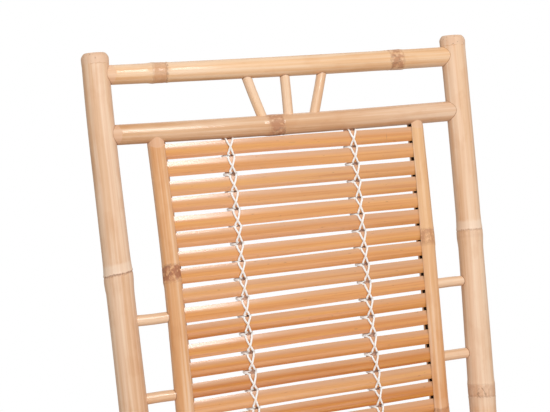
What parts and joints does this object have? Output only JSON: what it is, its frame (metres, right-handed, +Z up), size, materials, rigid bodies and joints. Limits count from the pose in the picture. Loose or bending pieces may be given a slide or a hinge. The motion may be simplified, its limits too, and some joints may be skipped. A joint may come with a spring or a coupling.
{
  "type": "bamboo rocking chair",
  "caption": "Rocking chair of saddle-jointed bamboo poles, with a reclined slat back and a slat seat laced by white cord, fanned crest sticks, pole arms and curved rockers.",
  "frame": {"origin": "on the floor, midway between the tips of the rockers and between the two sides", "axes": "+Z up, the sitter faces -Y, +X is the right-hand side seen from the front"},
  "size_m": [0.601, 0.9058, 1.1081],
  "materials": {
    "pole": "clear lacquered bamboo pole, satin",
    "stick": "clear lacquered thin bamboo, satin",
    "slat": "lacquered split bamboo, honey brown",
    "batten": "split bamboo, inner side, matt",
    "cord": "twisted white cord"
  },
  "bodies": {
    "root": {"back_post_left": "pole", "back_post_right": "pole", "crest_rail": "pole", "head_rail": "pole", "back_stile_left": "pole", "back_stile_right": "pole", "arm_left": "pole", "arm_right": "pole", "front_leg_left": "pole", "front_leg_right": "pole", "rocker_left": "pole", "rocker_right": "pole", "seat_side_rail_left": "pole", "seat_side_rail_right": "pole", "seat_front_rail": "pole", "seat_rear_rail": "pole", "seat_stile_left": "pole", "seat_stile_right": "pole", "front_stretcher": "pole", "rear_stretcher": "pole", "ray_left": "stick", "ray_middle": "stick", "ray_right": "stick", "back_rung_upper_left": "stick", "back_rung_upper_right": "stick", "back_rung_lower_left": "stick", "back_rung_lower_right": "stick", "back_slat_01": "slat", "back_slat_02": "slat", "back_slat_03": "slat", "back_slat_04": "slat", "back_slat_05": "slat", "back_slat_06": "slat", "back_slat_07": "slat", "back_slat_08": "slat", "back_slat_09": "slat", "back_slat_10": "slat", "back_slat_11": "slat", "back_slat_12": "slat", "back_slat_13": "slat", "back_slat_14": "slat", "back_slat_15": "slat", "back_slat_16": "slat", "back_slat_17": "slat", "back_slat_18": "slat", "back_slat_19": "slat", "back_slat_20": "slat", "back_slat_21": "slat", "back_slat_22": "slat", "back_slat_23": "slat", "back_slat_24": "slat", "back_slat_25": "slat", "back_slat_26": "slat", "seat_mat": "slat", "back_batten_left": "batten", "back_batten_right": "batten", "back_lacing_left": "cord", "back_lacing_right": "cord", "seat_lacing_left": "cord", "seat_lacing_right": "cord"}
  },
  "joints": []
}
